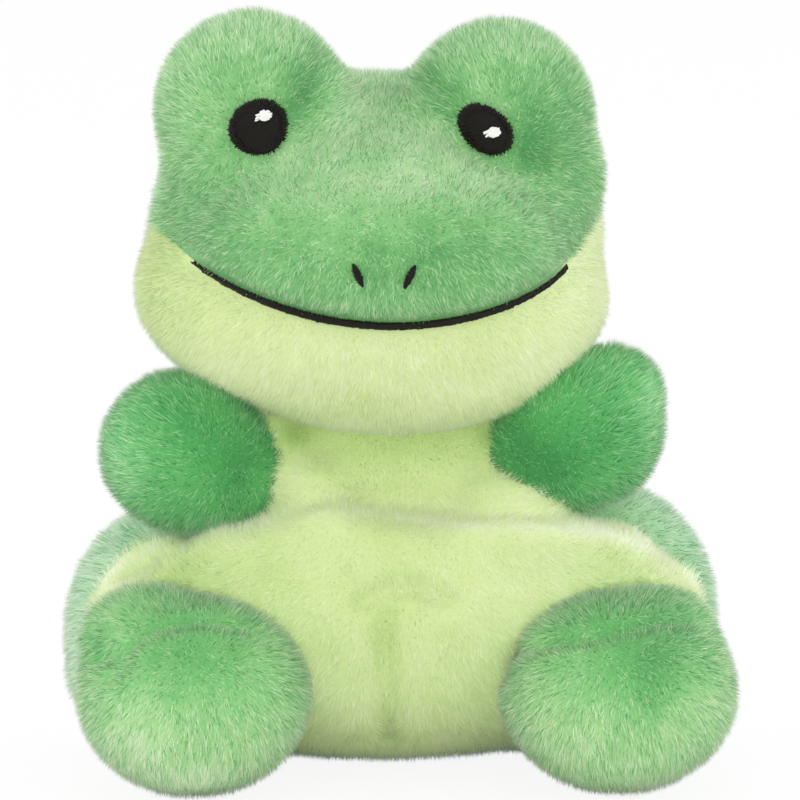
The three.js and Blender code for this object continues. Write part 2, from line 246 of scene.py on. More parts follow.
finishes = {slot: fibreFinish(slot) for slot in tones}
finishes.update({slot + "_nap": napFinish(slot) for slot in tones})
finishes.update({name: plainFinish(name, look) for name, look in plain.items()})
print("materials made:", len(finishes))


# Making and shaping meshes

def deselectAll():
    for thing in list(bpy.context.selected_objects):
        thing.select_set(False)


def pick(*things):
    deselectAll()
    for thing in things:
        thing.select_set(True)
    bpy.context.view_layer.objects.active = things[0]


def applyModifier(thing, kind, **settings):
    modifier = thing.modifiers.new(kind.lower(), kind)
    for key, value in settings.items():
        setattr(modifier, key, value)
    pick(thing)
    bpy.ops.object.modifier_apply(modifier=modifier.name)


def editAll(thing, operation, **settings):
    pick(thing)
    bpy.ops.object.mode_set(mode="EDIT")
    bpy.ops.mesh.select_all(action="SELECT")
    operation(**settings)
    bpy.ops.object.mode_set(mode="OBJECT")


def smooth(thing, times):
    applyModifier(thing, "SMOOTH", factor=0.5, iterations=times)


def vectorsOf(data, key):
    values = np.empty(len(data) * 3)
    data.foreach_get(key, values)
    return values.reshape(-1, 3)


def coordsOf(mesh):
    return vectorsOf(mesh.vertices, "co")


def normalsOf(mesh):
    return vectorsOf(mesh.vertex_normals, "vector")


def setCoords(mesh, coords):
    mesh.vertices.foreach_set("co", coords.astype(np.float32).ravel())
    mesh.update()


def copied(source, name):
    copy = source.copy()
    copy.data = source.data.copy()
    copy.name = name
    bpy.context.scene.collection.objects.link(copy)
    return copy


# Gives a piece its finish and the body it rides
def dress(piece, finish, bodyName):
    piece.data.materials.clear()
    piece.data.materials.append(finishes[finish])
    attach(piece, bodyName)


def dot(a, b):
    return np.einsum("ij,ij->i", a, b)


def unit(vectors):
    lengths = np.linalg.norm(vectors, axis=1, keepdims=True)
    return vectors / np.maximum(lengths, 1e-12)


def clearRise(value, low, high):
    share = np.clip((value - low) / (high - low), 0, 1)
    return share * share * (3 - 2 * share)


# Slow waves that go up and down over a surface, between about -1 and 1
def mottle(points, wavelength, seed):
    rng = np.random.default_rng(seed)
    total = np.zeros(len(points))
    for _ in range(5):
        direction = unit(rng.normal(size=(1, 3)))[0] * rng.uniform(0.7, 1.5)
        total += np.sin(points @ direction * (2 * math.pi / (wavelength * mm)) + rng.uniform(0, 2 * math.pi))
    return total / 3


# Stuffed forms: lobes run together, blown up from inside, and pulled in where they are sewn

pile = {"stands": 0.75, "floor": 0.7}
cloth = {"voxel": 2.4, "pressure": 4, "frames": 20, "cap": 0.9, "held": 0.8, "settle": 6, "even": 2}
# Depth and width of each crease
sewn = {"smile": (0.9, 2.2), "mound": (1.2, 2.4), "foot": (1.9, 1.6), "tuck": (3, 1.9), "middle": (2.2, 1.7),
        "lap": (3.2, 3.4)}
solids = {}  # for each stuffed form, how far points lie outside it


# How far points lie outside lobes, below 0 inside them
def lobeDistance(points, lobes, place):
    back = np.array(place.inverted())
    local = points @ back[:3, :3].T + back[:3, 3]
    least = np.full(len(points), np.inf)
    for x, y, z, width, depth, height in lobes:
        half = np.array([width, depth, height]) * mm / 2 - pile["stands"] * mm
        away = (local - np.array([x, y, z]) * mm) / half
        scale = np.linalg.norm(away, axis=1)
        slope = np.linalg.norm(away / half, axis=1)
        least = np.minimum(least, scale * (scale - 1) / np.maximum(slope, 1e-9))
    return least


def stuffedForm(name, lobes, place):
    deselectAll()
    parts = []
    for x, y, z, width, depth, height in lobes:
        half = [s / 2 - pile["stands"] for s in (width, depth, height)]
        bpy.ops.mesh.primitive_uv_sphere_add(
            segments=48, ring_count=24, radius=1, location=(x * mm, y * mm, z * mm))
        part = bpy.context.active_object
        part.scale = [h * mm for h in half]
        pick(part)
        bpy.ops.object.transform_apply(location=True, rotation=True, scale=True)
        parts.append(part)
    pick(*parts)
    bpy.ops.object.join()
    form = bpy.context.active_object
    form.name = name + "Form"
    form.data.transform(place)
    applyModifier(form, "REMESH", mode="VOXEL", voxel_size=cloth["voxel"] * mm)
    smooth(form, cloth["settle"])
    solids[name] = lambda points: lobeDistance(points, lobes, place)
    return form


# Cloth with air pressure inside, held along the seams
def blowUp(form, seams):
    coords = coordsOf(form.data)
    held = form.vertex_groups.new(name="held")
    for path, _, _ in seams:
        near = np.flatnonzero(distanceTo(coords, path) < cloth["voxel"] * mm * cloth["held"])
        held.add([int(i) for i in near], 1, "REPLACE")
    modifier = form.modifiers.new("cloth", "CLOTH")
    modifier.settings.use_pressure = True
    modifier.settings.uniform_pressure_force = cloth["pressure"]
    modifier.settings.effector_weights.gravity = 0
    modifier.settings.vertex_group_mass = held.name
    modifier.point_cache.frame_start = 1
    modifier.point_cache.frame_end = cloth["frames"]
    for step in range(1, cloth["frames"] + 1):
        bpy.context.scene.frame_set(step)
    blown = coordsOf(form.evaluated_get(bpy.context.evaluated_depsgraph_get()).data)
    moved = blown - coords
    length = np.linalg.norm(moved, axis=1, keepdims=True)
    moved *= np.minimum(1, cloth["cap"] * mm / np.maximum(length, 1e-9))
    form.modifiers.remove(modifier)
    form.vertex_groups.remove(held)
    bpy.context.scene.frame_set(1)
    setCoords(form.data, coords + moved)


# Least distance from each point to a path of points
def distanceTo(points, path):
    least = np.full(len(points), np.inf)
    for start, end in zip(path[:-1], path[1:]):
        along = end - start
        share = np.clip((points - start) @ along / max(along @ along, 1e-12), 0, 1)
        gap = np.linalg.norm(points - start - share[:, None] * along, axis=1)
        least = np.minimum(least, gap)
    return least


def pullIn(form, seams):
    coords = coordsOf(form.data)
    normals = normalsOf(form.data)
    for path, depth, width in seams:
        pull = depth * mm * np.exp(-(distanceTo(coords, path) / (width * mm)) ** 2)
        coords -= normals * pull[:, None]
    setCoords(form.data, coords)


# Flattens a form's underside to where its backing rests
def overFloor(form):
    coords = coordsOf(form.data)
    low = coords[:, 2] < pile["floor"] * mm
    coords[low, 2] = pile["floor"] * mm
    setCoords(form.data, coords)


def finishForm(form, seams):
    blowUp(form, seams)
    applyModifier(form, "SUBSURF", levels=1, render_levels=1)
    pullIn(form, seams)
    smooth(form, cloth["even"])


def treeOf(form):
    form.data.calc_loop_triangles()
    coords = [v.co for v in form.data.vertices]
    return BVHTree.FromPolygons(coords, [tuple(t.vertices) for t in form.data.loop_triangles])


# The point on a form in front of a place in the front view, and its normal
def onFront(tree, x, z):
    hit, normal, _, _ = tree.ray_cast(Vector((x, -0.2, z)), Vector((0, 1, 0)))
    return (hit, normal) if hit is not None else (None, None)


# The same with the normal evened out over the faces around
def onFrontEven(tree, x, z):
    hit, normal = onFront(tree, x, z)
    if hit is None:
        return None, None
    steps = ((-1.5, 0), (1.5, 0), (0, -1.5), (0, 1.5))
    around = [onFront(tree, x + dx * mm, z + dz * mm)[1] for dx, dz in steps]
    return hit, sum((n for n in around if n is not None), normal.copy()).normalized()


def frontPath(tree, points):
    hits = [onFront(tree, x, z)[0] for x, z in points]
    return np.array([hit for hit in hits if hit is not None])


# A path over a form, through places given as millimetres aside and above the origin in the camera's view
def seenPath(tree, places):
    spots = []
    for (x0, z0), (x1, z1) in zip(places[:-1], places[1:]):
        spots += [(x0 + (x1 - x0) * i / 4, z0 + (z1 - z0) * i / 4) for i in range(4)]
    spots.append(places[-1])
    hits = [tree.ray_cast(aside * x * mm + above * z * mm + towards * 0.3, -towards)[0] for x, z in spots]
    return np.array([hit for hit in hits if hit is not None])


# Head

neckAt = joints["head_turn"]
headTilt = 2.2
headPlace = Matrix.Translation(neckAt) @ Matrix.Rotation(math.radians(headTilt), 4, "Y")
head = {
    "jaw": (0.1, -7, 16.8, 79, 66, 42.4),
    "jawLow": (2.3, -8, 12, 67, 58, 36),
    "browFill": (0, -13, 34, 54, 44, 27),
    "skull": (1, -1, 26, 75.5, 64, 52.5),
    "snout": (0, -19, 27, 63, 50.5, 32.5),
    "templeLeft": (24, -5, 37, 29.5, 32, 25),
    "templeRight": (-22, -5, 37, 27, 32, 25),
    "moundLeft": (20.2, -7, 46.9, 32.2, 32.6, 32.6),
    "moundRight": (-20.8, -7, 47.2, 32.8, 32.6, 32.8),
}
smile = {"lift": 16.6, "rise": 7.2, "cheekRise": (0.2, 0.9), "halfWidth": 31, "seam": 36, "edge": 41}


def smileAt(x):
    share = x / smile["halfWidth"]
    cheek = np.where(x < 0, smile["cheekRise"][0], smile["cheekRise"][1])
    return smile["lift"] + smile["rise"] * share ** 2 + cheek * share ** 8


def headPoint(x, z):
    place = headPlace @ Vector((x * mm, 0, z * mm))
    return place.x, place.z


headForm = stuffedForm("head", head.values(), headPlace)
rough = treeOf(headForm)
seamXs = np.linspace(-smile["seam"], smile["seam"], 37)
smilePath = frontPath(rough, [headPoint(x, smileAt(x)) for x in seamXs])
moundSeams = {
    "right": [(-11.6, 118), (-12.4, 114.6), (-14, 111), (-16.6, 107.6)],
    "left": [(1, 115.2), (5.2, 112.2), (8.6, 108.4), (10.8, 103.8), (14.4, 100.9), (19.4, 100.2), (25.2, 99.8),
             (31, 98.2)],
}
moundPaths = [seenPath(rough, places) for places in moundSeams.values()]
finishForm(headForm, [(smilePath, *sewn["smile"])] + [(path, *sewn["mound"]) for path in moundPaths])
headTree = treeOf(headForm)
print("head form:", len(headForm.data.polygons), "faces")


# Arms and feet

arm = {"shoulder": (0, 0, 0, 16, 16, 16), "upper": (5, -3, -0.5, 22, 21, 22), "hand": (13, -5, 1.5, 28.6, 25.6, 28)}
hip = {"hip": (0, 0, 0, 33, 33, 33)}
armRaise = {"left": 22, "right": 9}
limbs = {
    "arm_left": {**arm, "corner": (21.4, -5, 4.8, 15.4, 18, 17)},
    "arm_right": arm,
    "foot_left": {**hip, "foot": (1.5, -15.3, 0.3, 39.4, 39.8, 33.4), "top": (8, -10, 8, 22, 24, 18)},
    "foot_right": {**hip, "foot": (1.1, -15.1, 0.6, 38.8, 39.4, 33), "top": (8, -10, 9.4, 24, 24, 18)},
}
limbCreases = {
    "foot_left": [[(18.5, 13), (19.6, 18.7), (24.3, 20.8), (29.3, 21.4), (36, 22.9), (43.5, 24.5), (48.6, 24.6)]],
    "foot_right": [[(-49, 18), (-45.2, 19.4), (-42.6, 21.4), (-39.6, 23.4), (-32.3, 25), (-25, 23.6)],
                   [(-47, 15.6), (-44, 18)]],
}
limbForms, limbPaths = {}, {}


def makeLimb(part, side, place):
    form = stuffedForm(part, [(side * x, *rest) for x, *rest in limbs[part].values()], place)
    overFloor(form)
    rough = treeOf(form)
    limbPaths[part] = [seenPath(rough, crease) for crease in limbCreases.get(part, [])]
    finishForm(form, [(path, *sewn["foot"]) for path in limbPaths[part]])
    overFloor(form)
    limbForms[part] = form


for word, side in (("left", 1), ("right", -1)):
    raised = Matrix.Rotation(-side * math.radians(armRaise[word]), 4, "Y")
    makeLimb(f"arm_{word}", side, Matrix.Translation(joints[f"arm_{word}_swing"]) @ raised)
    makeLimb(f"foot_{word}", side, Matrix.Translation(joints[f"foot_{word}_lift"]))
print("limb forms:", len(limbForms))


# Body

body = {
    "seat": (0, 10.4, 22, 106, 66, 42),
    "lap": (0, -4.6, 28, 99, 38.5, 35.5),
    "thighLeft": (35, 12.4, 23.4, 40, 46, 45),
    "thighRight": (-34, 12.4, 21.8, 40, 46, 43.4),
    "chest": (-1, 6.6, 46, 52, 37, 50),
    "shoulderLeft": (18, 1, 53, 20, 26, 22),
    "shoulderRight": (-21, 1, 53.6, 20, 27, 23),
    "fold": (0, -9, 38.6, 86, 25, 15.6),
    "bustLeft": (18, -11, 42.6, 30, 22, 19),
    "bustRight": (-14, -11, 44, 21, 20, 21),
    "back": (0, 16.4, 30.5, 77, 52, 61),
    "underLeft": (24, 14, 13.5, 60, 50, 24),
    "underRight": (-24, 14, 13.5, 60, 50, 24),
}
socket = {"foot": 0.2, "arm": -1.2, "head": -0.8, "steps": 26, "step": 0.6, "settle": 3}
headRoom = {"radius": 43.6, "depth": 23.6, "lift": 16.8, "clear": 1.6}


# The body's top is dished, so that the head has room above it
def dish(form):
    coords = coordsOf(form.data)
    centre = np.array(neckAt) + np.array([0, 0, headRoom["lift"] * mm])
    size = np.array([headRoom["radius"], headRoom["radius"], headRoom["depth"]]) * mm
    away = (coords - centre) / size
    inside = np.linalg.norm(away, axis=1) < 1
    low = np.clip(1 - away[:, 0] ** 2 - away[:, 1] ** 2, 0, None)
    floor = centre[2] - size[2] * np.sqrt(low) + headRoom["clear"] * mm
    lowered = np.minimum(coords[:, 2], floor)
    coords[inside, 2] = lowered[inside]
    setCoords(form.data, coords)


# The body gives way where a limb sits in it
def makeRoom(form):
    coords = coordsOf(form.data)
    normals = normalsOf(form.data)
    for _ in range(socket["steps"]):
        for limb in (*limbForms, "head"):
            inside = solids[limb](coords) < socket[limb.split("_")[0]] * mm
            coords[inside] -= normals[inside] * socket["step"] * mm
    setCoords(form.data, coords)


bodyForm = stuffedForm("torso", body.values(), Matrix.Identity(4))
overFloor(bodyForm)
bodyRough = treeOf(bodyForm)
creases = {
    "tuck": [(-5, 27.8), (-2, 29.6), (3, 30.4), (8.4, 28.6)],
    "middle": [(-1.2, 26), (-1.5, 18), (-1.2, 10), (-0.6, 4.5)],
    "lap": [(-44, 33), (-38, 37), (-31, 41.2), (-24, 43.6), (-16, 45), (-10, 46.2), (1, 45), (10, 44), (18, 43.6),
            (27, 43.4), (34, 43), (41, 40.6), (47, 36)],
    "crest": [(-50, 31), (-45, 34.4), (-40, 36.6), (-33, 38.8), (-27.3, 40.4), (-23.3, 41.6), (-15, 43.4),
              (-10, 44.4), (-2.7, 43.2), (3.5, 42), (12, 41.4), (21, 41), (28, 40.6), (34.3, 39.6), (41, 37),
              (47.7, 33), (51, 29.5)],
}
bellyPaths = {name: seenPath(bodyRough, places) for name, places in creases.items()}
finishForm(bodyForm, [(bellyPaths[name], *sewn[name]) for name in ("tuck", "middle", "lap")])
dish(bodyForm)
makeRoom(bodyForm)
smooth(bodyForm, socket["settle"])
overFloor(bodyForm)
print("body form:", len(bodyForm.data.polygons), "faces")


# Panels: the part of a form that one cut of plush covers, with the thickness of its backing

backing = {"thick": 0.9, "tones": (0.03, 0.95)}


# Cuts a piece where a height over it changes sign, and keeps the side above 0
def cutAlong(piece, heightOf):
    mesh = piece.data
    coords = coordsOf(mesh)
    home = mesh.attributes.new("home", "FLOAT_VECTOR", "POINT")
    home.data.foreach_set("vector", coords.astype(np.float32).ravel())
    raised = coords.copy()
    raised[:, 0] = heightOf(coords) * mm
    setCoords(mesh, raised)
    editAll(piece, bpy.ops.mesh.bisect, plane_co=(0, 0, 0), plane_no=(1, 0, 0), clear_inner=True,
            threshold=0.001 * mm)
    setCoords(mesh, vectorsOf(mesh.attributes["home"].data, "vector"))
    mesh.attributes.remove(mesh.attributes["home"])


def addPanel(coat):
    look = coats[coat]
    panel = copied(look["form"], look["panel"])
    for heightOf in sides.get(coat, []):
        cutAlong(panel, heightOf)
    applyModifier(panel, "SOLIDIFY", thickness=backing["thick"] * mm, offset=-1)
    panel.data.polygons.foreach_set("use_smooth", np.ones(len(panel.data.polygons), bool))
    paintBacking(panel.data, look["tone"])
    dress(panel, look["slot"] + "_nap", look["body"])
    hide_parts(look["node"])


# The backing takes the tone of the fibres that stand on it
def paintBacking(mesh, toneAt):
    tone = mesh.attributes.new("tone", "FLOAT", "POINT")
    shares = np.clip(toneAt(coordsOf(mesh), normalsOf(mesh)), *backing["tones"])
    tone.data.foreach_set("value", shares.astype(np.float32))


def inHead(points):
    back = np.array(headPlace.inverted())
    return (points @ back[:3, :3].T + back[:3, 3]) / mm


def smileGap(points):
    local = inHead(points)
    return local[:, 2] - smileAt(np.clip(local[:, 0], -smile["edge"], smile["edge"]))


faceSeam = {"y": 3, "forward": 5, "across": (20, 38), "low": (14, 32), "high": (-54, -34)}


# Above 0 behind the seam between the face and the back of the head
def backGap(points):
    x, y, z = inHead(points).T
    forward = (faceSeam["forward"] * clearRise(np.abs(x), *faceSeam["across"])
               * clearRise(z, *faceSeam["low"]) * clearRise(-z, *faceSeam["high"]))
    return y - faceSeam["y"] + forward


sideSeam = {"y": -1.6, "hipShift": 4.5, "hips": (28, 46)}


# Above 0 behind the seams between belly and back
def rearGap(points):
    x, y, _ = points.T / mm
    return y - sideSeam["y"] - sideSeam["hipShift"] * clearRise(np.abs(x), *sideSeam["hips"])


def under(heightOf):
    return lambda points: -heightOf(points)


sides = {
    "crown": [under(backGap), smileGap],
    "chin": [under(backGap), under(smileGap)],
    "head_back": [backGap],
    "belly": [under(rearGap)],
    "back": [rearGap],
}


def within(points, panel):
    inside = np.ones(len(points), bool)
    for heightOf in sides.get(panel, []):
        inside &= heightOf(points) > 0
    return inside


# How the pile lies, place by place

# Each comb fans out across a reach, with a share backwards and a share upwards
combs = {"face": (34, -0.8, -0.65), "rear": (40, 1, -0.1), "chin": (40, -0.1, -0.9), "back": (125, 0.35, -0.8),
         "belly": (26, -0.8, -0.7)}
limbCombs = {"arm": (0, 0, -2), "foot": (0, -6, 22)}
mound = {"aside": 21, "lift": 48, "root": (-9, 41), "edge": (-19, -14), "behind": (-12, -2)}
throat = {"below": 4, "back": 0.8}
underBelly = {"low": (-26, -12), "back": 0.8, "up": -0.4}
crest = {"lie": (0, 0.5, 0.8), "front": (-19, -13), "top": (-52, -46)}


def fanned(across, reach, back, up):
    flat = 0 * across
    return np.stack([across / reach, flat + back, flat + up], 1)


def crownComb(points):
    local = inHead(points)
    x, y, z = local.T
    dome = local - fanned(mound["aside"] * np.sign(x), 1, *mound["root"])
    onDome = clearRise(-np.hypot(np.abs(x) - mound["aside"], z - mound["lift"]), *mound["edge"])[:, None]
    behind = clearRise(y, *mound["behind"])[:, None]
    front = unit(fanned(x, *combs["face"])) * (1 - onDome) + unit(dome) * onDome
    return front * (1 - behind) + unit(fanned(x, *combs["rear"])) * behind


def chinComb(points):
    local = inHead(points)
    reach, back, up = combs["chin"]
    return unit(fanned(local[:, 0], reach, back + throat["back"] * (local[:, 2] < throat["below"]), up))


def backComb(points):
    return unit(fanned(points[:, 0] / mm, *combs["back"]))


def bellyComb(points):
    x, y, z = points.T / mm
    reach, back, up = combs["belly"]
    low = clearRise(-z, *underBelly["low"])
    down = unit(fanned(x, reach, back + underBelly["back"] * low, up + underBelly["up"] * low))
    onCrest = (clearRise(y, *crest["front"]) * clearRise(-z, *crest["top"]))[:, None]
    return down * (1 - onCrest) + np.array(crest["lie"]) * onCrest


# Combed away from a place near the limb's joint
def limbComb(limb, joint):
    root = np.array(joints[joint]) + np.array(limbCombs[limb]) * mm
    return lambda points: unit(points - root)


# How light it is. Each piece has a middle tone, slow waves (change, wavelength, seed), and deeper (below 0) and
# paler places in the camera's view (millimetres aside and above, reach, change). Many places are painted shade in
# creases and under the chin, and painted light on tops and rims.
toneAndShade = {
    "crown": {"middle": 0.37, "waves": [(0.08, 30, 51), (0.06, 8, 52), (0.05, 3.4, 53)], "places": [
        (-14.8, 113.6, 4.2, -0.34), (-15.6, 109.6, 3, -0.18), (25.8, 108, 8, -0.28), (21.6, 102.6, 4.5, -0.2),
        (-18, 84, 10, -0.06), (12, 82, 10, -0.06), (5.4, 114, 4.6, -0.24), (-2, 103, 13, 0.16), (-29, 94, 9, -0.2),
        (29, 93, 8, -0.12), (-4, 88, 11, -0.12), (14, 86, 10, -0.12), (-38, 112, 6, 0.08), (-23, 124, 7, 0.08),
        (19, 123, 8, 0.1)]},
    "chin": {"middle": 0.51, "waves": [(0.06, 26, 61), (0.03, 7, 62)], "places": []},
    "head_back": {"middle": 0.5, "waves": [(0.1, 22, 91), (0.05, 7, 92)], "places": []},
    "belly": {"middle": 0.48, "waves": [(0.05, 26, 93), (0.03, 7, 94)], "places": [
        (-36, 34.5, 8, -0.26), (-20, 31, 8, -0.1), (16, 26, 9, 0.06), (28, 12, 6, 0.08), (-53, 30, 6, 0.3),
        (-16.6, 55.4, 3, -0.4), (16, 55, 2.6, -0.3), (-18, 50, 5, 0.16), (0, 57, 7, -0.08), (22, 45, 5, 0.14)]},
    "back": {"middle": 0.5, "waves": [(0.1, 22, 95), (0.05, 7, 96)], "places": []},
    "arm_left": {"middle": 0.4, "waves": [(0.08, 14, 81)], "places": [
        (37, 55, 12, -0.06), (23, 51, 8, -0.2), (46, 62, 6, 0.12), (43, 48, 5, 0.1)]},
    "arm_right": {"middle": 0.4, "waves": [(0.08, 14, 81)], "places": [
        (-24, 52, 9, -0.1), (-31, 58, 8, -0.06), (-48, 50, 6, 0.16), (-18, 55, 4, -0.2)]},
    "foot_left": {"middle": 0.47, "waves": [(0.06, 16, 71), (0.04, 6, 72)], "places": [
        (42, 17, 10, -0.24), (28, 11, 8, 0.12), (38, 27, 9, -0.12), (51, 10, 6, 0.1)]},
    "foot_right": {"middle": 0.47, "waves": [(0.06, 16, 71), (0.04, 6, 72)], "places": [
        (-35, 20, 9, -0.1), (-26, 16, 6, -0.06), (-34, 27, 8, -0.04), (-38, 8, 11, 0.1), (-51, 20, 5, -0.1)]},
}
facing = (-0.1, 0.3)  # the places fade out where the plush turns away from the camera

# Changes of tone: over a rise from one value to another, and beside a path. Painted light on tops that face up and
# on the arms' ends, painted shade under the chin and on the chest below it; the crown's sides and the right cheek
# darker, the feet lighter towards the bottom. Beside paths: painted shade in the seams and creases, a painted
# highlight along the lap's crest
rises = {"crownTop": (0.08, 0.2, 0.95), "crownSide": (-0.06, 26, 38), "chinLow": (-0.16, -6, 2),
         "cheekRight": (-0.26, 24, 37), "bellyTop": (0.1, 0.3, 0.9), "chest": (-0.14, 50, 56),
         "footLow": (0.2, -26, -6), "armEnd": (0.14, 12, 28)}
lightAndShadeBeside = {"mound": (-0.12, 2.6), "fold": (-0.95, 1.3), "crest": (0.46, 1.8), "lap": (-0.1, 1.6),
           "foot": (-0.3, 1.2)}
brow = {"change": 0.12, "lift": 39, "reach": 7, "halfWidth": 40}
chestHalf = 30


def rising(value, key):
    change, low, high = rises[key]
    return change * clearRise(value, low, high)


def beside(points, path, key):
    change, reach = lightAndShadeBeside[key]
    return change * np.exp(-(distanceTo(points, path) / (reach * mm)) ** 2)


def towardsCamera(normals):
    return clearRise(normals @ np.array(towards), *facing)


# The middle tone and waves, with painted light and shade at the places
def toneAndShadeAt(piece, points, normals):
    look = toneAndShade[piece]
    across, up = points @ np.array(aside) / mm, points @ np.array(above) / mm
    change = 0
    for x, y, reach, by in look["places"]:
        change = change + by * np.exp(-((across - x) ** 2 + (up - y) ** 2) / reach ** 2)
    waves = sum(by * mottle(points, length, seed) for by, length, seed in look["waves"])
    return look["middle"] + waves + change * towardsCamera(normals)


def plainTone(piece):
    return lambda points, normals: toneAndShadeAt(piece, points, normals)


# Painted light on the top and painted shade beside the mound seams; darker at the sides, lighter at the brow
def crownTone(points, normals):
    x, _, z = inHead(points).T
    tone = toneAndShadeAt("crown", points, normals) + rising(normals[:, 2], "crownTop") + rising(np.abs(x), "crownSide")
    tone += brow["change"] * np.exp(-((z - brow["lift"]) / brow["reach"]) ** 2) * (np.abs(x) < brow["halfWidth"])
    return tone + sum(beside(points, path, "mound") for path in moundPaths)


# Painted shade under the chin; the right cheek darker
def chinTone(points, normals):
    x, _, z = inHead(points).T
    return toneAndShadeAt("chin", points, normals) + rising(-z, "chinLow") + rising(-x, "cheekRight")


# Painted light on top, painted shade on the chest under the chin and in the creases, painted highlight on the crest
def bellyTone(points, normals):
    x, _, z = points.T / mm
    tone = toneAndShadeAt("belly", points, normals) + rising(normals[:, 2], "bellyTop")
    tone += rising(z, "chest") * (np.abs(x) < chestHalf)
    tone += beside(points, bellyPaths["tuck"], "fold") + beside(points, bellyPaths["middle"], "fold")
    tone += beside(points, bellyPaths["crest"], "crest") * towardsCamera(normals)
    return tone + beside(points, bellyPaths["lap"], "lap")


# Painted shade in the creases, and lighter towards the bottom
def footTone(part):
    def tone(points, normals):
        creased = sum(beside(points, path, "foot") for path in limbPaths[part])
        return toneAndShadeAt(part, points, normals) + rising(-points[:, 2] / mm, "footLow") + creased
    return tone


# Painted light towards the arm's outer end
def armTone(part):
    def tone(points, normals):
        away = np.abs(points[:, 0] - joints[f"{part}_swing"].x) / mm
        return toneAndShadeAt(part, points, normals) + rising(away, "armEnd")
    return tone


# How short it is: in the creases (share and reach), and round the stitching
short = {"belly": (0.65, 1.6), "foot": (0.5, 1.3), "eye": (0.88, 1.35), "eyeEdge": 0.95, "eyeLeast": 0.35,
         "nostril": (1.5, 3.2), "nostrilLeast": 0.4, "mouth": (0.25, 3.2)}


def creaseCut(paths, key):
    share, reach = short[key]
    def cut(points):
        near = np.min([distanceTo(points, path) for path in paths], axis=0)
        return 1 - share * np.exp(-(near / (reach * mm)) ** 2)
    return cut


# 0 under the stitching, rising to 1 where the pile has its full length
def faceCut(points):
    share = np.ones(len(points))
    for word in eyeMiddles:
        away = eyeShare(word, points[:, 0], points[:, 2])
        least = short["eyeLeast"] * (away > short["eyeEdge"])
        share = np.minimum(share, clearRise(away, *short["eye"]) * (1 - short["eyeLeast"]) + least)
    for x, z in (nodeMiddle("nostril_left"), nodeMiddle("nostril_right")):
        away = np.hypot(points[:, 0] - x, points[:, 2] - z) / mm
        least = short["nostrilLeast"]
        share = np.minimum(share, least + (1 - least) * clearRise(away, *short["nostril"]))
    line = mouthLine[::12]
    path = np.stack([line[:, 0], np.zeros(len(line)), line[:, 1]], 1)
    gap = distanceTo(points * np.array([1, 0, 1]), path) / mm
    share = np.minimum(share, clearRise(gap, *short["mouth"]))
    return np.where(points[:, 1] < neckAt.y, share, 1)


# Coats: what each cut of plush covers and stands for, and how its pile grows. Those with a middle grow in halves
onHead = {"form": headForm, "body": "head", "fill": 0.8, "middle": neckAt.x}
onBody = {"form": bodyForm, "body": "torso", "fill": 0.7}
coats = {
    "crown": {**onHead, "panel": "crown_panel", "node": "head_crown", "slot": "head_green", "seed": 101,
              "dense": 1.2, "length": 2.05, "lean": 26, "stray": 0.55, "comb": crownComb, "tone": crownTone,
              "cut": faceCut},
    "chin": {**onHead, "panel": "chin_panel", "node": "head_chin", "slot": "pale_plush", "seed": 103,
             "dense": 1.2, "length": 2.1, "stray": 0.45, "comb": chinComb, "tone": chinTone, "cut": faceCut},
    "head_back": {**onHead, "panel": "head_back_panel", "node": "head_back", "slot": "mint_plush", "seed": 105,
                  "dense": 0.95, "length": 2.25, "comb": backComb, "tone": plainTone("head_back")},
    "belly": {**onBody, "panel": "belly_panel_plush", "node": "belly_panel", "slot": "pale_plush", "seed": 107,
              "dense": 0.92, "length": 2.2, "stray": 0.4, "comb": bellyComb, "tone": bellyTone,
              "cut": creaseCut([bellyPaths["tuck"], bellyPaths["middle"]], "belly")},
    "back": {**onBody, "panel": "back_panel_plush", "node": "back_panel", "slot": "mint_plush", "seed": 108,
             "middle": 0, "dense": 0.84, "length": 2.25, "comb": backComb, "tone": plainTone("back")},
}
for part, seed in (("arm_left", 110), ("foot_left", 115), ("arm_right", 111), ("foot_right", 116)):
    coats[part] = {"form": limbForms[part], "body": part, "fill": 0.8, "panel": f"{part}_plush", "node": part,
                   "seed": seed}
    if part.startswith("arm"):
        coats[part].update({"slot": "arm_green", "length": 2.05, "comb": limbComb("arm", f"{part}_swing"),
                            "tone": armTone(part)})
    else:
        coats[part].update({"slot": "foot_green", "length": 2.25, "comb": limbComb("foot", f"{part}_lift"),
                            "tone": footTone(part), "cut": creaseCut(limbPaths[part], "foot")})

for coat in coats:
    addPanel(coat)
print("panels made")


# Filling inside the panels

packed = {"merge": 0.01, "settle": 8, "inset": 1.9, "lumps": 0.3, "lumpLength": 7, "fill": 0.7}


def addFilling(name, node, slot, bodyName, voxel):
    lump = copied(frame["nodes"][node], name)
    for key in list(lump.keys()):
        if key.startswith("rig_"):
            del lump[key]
    editAll(lump, bpy.ops.mesh.remove_doubles, threshold=packed["merge"] * mm)
    applyModifier(lump, "REMESH", mode="VOXEL", voxel_size=voxel * mm)
    smooth(lump, packed["settle"])
    coords = coordsOf(lump.data)
    inset = packed["inset"] + packed["lumps"] * mottle(coords, packed["lumpLength"], 11)
    setCoords(lump.data, coords - normalsOf(lump.data) * inset[:, None] * mm)
    dress(lump, slot, bodyName)
    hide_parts(node)


